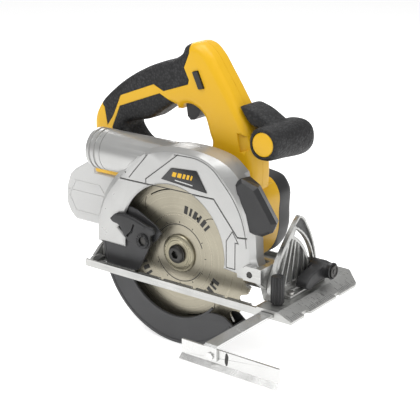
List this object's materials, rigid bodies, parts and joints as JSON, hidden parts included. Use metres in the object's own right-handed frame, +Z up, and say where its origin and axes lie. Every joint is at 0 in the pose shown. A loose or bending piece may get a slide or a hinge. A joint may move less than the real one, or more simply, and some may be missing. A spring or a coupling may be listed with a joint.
{
  "type": "circular saw",
  "caption": "Cordless circular saw with tilting sole, depth swing, sprung lower guard, front handle and a parallel edge guide.",
  "frame": {"origin": "on the underside of the sole, on the solid plate beside the blade slot, 45 mm from the blade plane and level with the spindle axis", "axes": "+X is the cutting direction, +Y runs from the blade towards the motor, +Z is up through the sole"},
  "size_m": [0.346, 0.2116, 0.2803],
  "materials": {
    "sole_alloy": "stamped and brushed, slightly dull",
    "guard_silver": "die cast, matt silver lacquer",
    "guard_grey": "dark grey satin coating",
    "blade_steel": "ground plate with a clear lacquer",
    "steel": "zinc plated fastener steel",
    "flange_khaki": "yellow passivated",
    "bright_zinc": "bright zinc plate",
    "yellow_plastic": "satin moulded shell",
    "black_plastic": "fine spark texture",
    "grip_rubber": "overmoulded, stippled",
    "pack_grey": "pale moulded shell",
    "laminations": "stacked electrical steel",
    "winding_copper": "enamelled wire",
    "cell_sleeve": "shrink sleeve over the cells"
  },
  "bodies": {
    "base": {"base_plate": "sole_alloy", "front_bevel_quadrant": "sole_alloy", "quadrant_screw_front": "steel", "quadrant_screw_rear": "steel", "rear_bevel_bracket": "sole_alloy"},
    "guide_clamp": {"guide_clamp_knob": "black_plastic"},
    "edge_guide": {"edge_guide_bar": "bright_zinc", "edge_guide_fence": "bright_zinc", "fence_rivet": "steel"},
    "bevel_carriage": {"bevel_arm": "sole_alloy", "front_bevel_pin": "steel", "rear_bevel_pin": "steel", "depth_pivot_pin": "steel", "depth_quadrant": "sole_alloy"},
    "bevel_lock": {"bevel_lock_bolt": "steel", "bevel_lock_lever": "black_plastic", "bevel_lever_cap": "bright_zinc"},
    "saw_body": {"upper_guard": "guard_silver", "dust_port_collar": "guard_silver", "label_plate": "black_plastic", "front_cover": "black_plastic", "guard_spring": "steel", "gear_case": "guard_silver", "bearing_plate": "guard_silver", "spindle_bearing": "steel", "motor_bearing_front": "steel", "motor_bearing_rear": "steel", "stator_core": "laminations", "stator_windings": "winding_copper", "housing_near": "yellow_plastic", "housing_far": "yellow_plastic", "grip_upper": "grip_rubber", "grip_lower": "grip_rubber", "motor_end_cap": "black_plastic", "trigger_spring": "steel", "switch_module": "black_plastic", "terminal_block": "black_plastic", "front_handle": "grip_rubber", "front_handle_cap": "yellow_plastic"},
    "lower_guard_set": {"lower_guard": "guard_grey", "lift_lever": "black_plastic", "lever_screw": "steel"},
    "blade_set": {"saw_blade": "blade_steel", "inner_flange": "flange_khaki", "outer_flange": "flange_khaki", "arbor_bolt": "steel", "spindle": "steel", "spindle_gear": "steel"},
    "rotor": {"rotor_shaft": "steel", "rotor_core": "laminations", "cooling_fan": "black_plastic"},
    "trigger_body": {"trigger": "black_plastic"},
    "lock_off": {"lock_off_button": "black_plastic"},
    "spindle_lock": {"spindle_lock_button": "black_plastic"},
    "depth_lock": {"depth_lock_bolt": "steel", "depth_lock_lever": "black_plastic"},
    "battery": {"battery_lower_case": "pack_grey", "battery_upper_case": "pack_grey", "cell_pack": "cell_sleeve"},
    "latch": {"battery_latch": "black_plastic"}
  },
  "joints": [
    {"name": "bevel_tilt", "type": "hinge", "parent": "base", "child": "bevel_carriage", "pos_m": [0.1, -0.045, 0.012], "axis": [1, 0, 0], "range_deg": [0, 45]},
    {"name": "depth_swing", "type": "hinge", "parent": "bevel_carriage", "child": "saw_body", "pos_m": [0.092, -0.045, 0.033], "axis": [0, 1, 0], "range_deg": [0, 36]},
    {"name": "lower_guard_retract", "type": "hinge", "parent": "saw_body", "child": "lower_guard_set", "pos_m": [0, -0.045, 0.028], "axis": [0, 1, 0], "range_deg": [0, 100], "stiffness_Nm_per_rad": 0.06, "springref_deg": -91.67, "deforming": ["guard_spring"]},
    {"name": "blade_spin", "type": "hinge", "parent": "saw_body", "child": "blade_set", "pos_m": [0, -0.045, 0.028], "axis": [0, 1, 0], "continuous": true},
    {"name": "motor_spin", "type": "hinge", "parent": "saw_body", "child": "rotor", "pos_m": [0.01286, -0.045, 0.04707], "axis": [0, 1, 0], "continuous": true},
    {"name": "trigger_pull", "type": "slide", "parent": "saw_body", "child": "trigger_body", "axis": [0, 0, 1], "range_m": [0, 0.0055], "stiffness_N_per_m": 900, "springref_m": -0.003, "deforming": ["trigger_spring"]},
    {"name": "lock_off_push", "type": "slide", "parent": "saw_body", "child": "lock_off", "axis": [0, 1, 0], "range_m": [-0.0017, 0.0017], "stiffness_N_per_m": 600},
    {"name": "spindle_lock_push", "type": "slide", "parent": "saw_body", "child": "spindle_lock", "axis": [-1, 0, 0], "range_m": [0, 0.0025], "stiffness_N_per_m": 900, "springref_m": -0.002},
    {"name": "depth_lock_swing", "type": "hinge", "parent": "saw_body", "child": "depth_lock", "pos_m": [-0.043, -0.028, 0.033], "axis": [0, 1, 0], "range_deg": [-60, 0]},
    {"name": "battery_release", "type": "slide", "parent": "saw_body", "child": "battery", "axis": [-1, 0, 0], "range_m": [0, 0.075]},
    {"name": "latch_press", "type": "slide", "parent": "battery", "child": "latch", "axis": [0, 0, -1], "range_m": [0, 0.003], "stiffness_N_per_m": 600, "springref_m": -0.002},
    {"name": "bevel_lock_swing", "type": "hinge", "parent": "bevel_carriage", "child": "bevel_lock", "pos_m": [0.1, 0.01212, 0.02207], "axis": [1, 0, 0], "range_deg": [-70, 0]},
    {"name": "guide_clamp_turn", "type": "hinge", "parent": "base", "child": "guide_clamp", "pos_m": [0.1154, -0.0545, 0.02], "axis": [0, 0, 1], "range_deg": [0, 360]},
    {"name": "edge_guide_slide", "type": "slide", "parent": "base", "child": "edge_guide", "axis": [0, 1, 0], "range_m": [-0.06, 0.075]}
  ],
  "couplings": [
    {"joint": "motor_spin", "follows": "blade_spin", "ratio": -4}
  ]
}
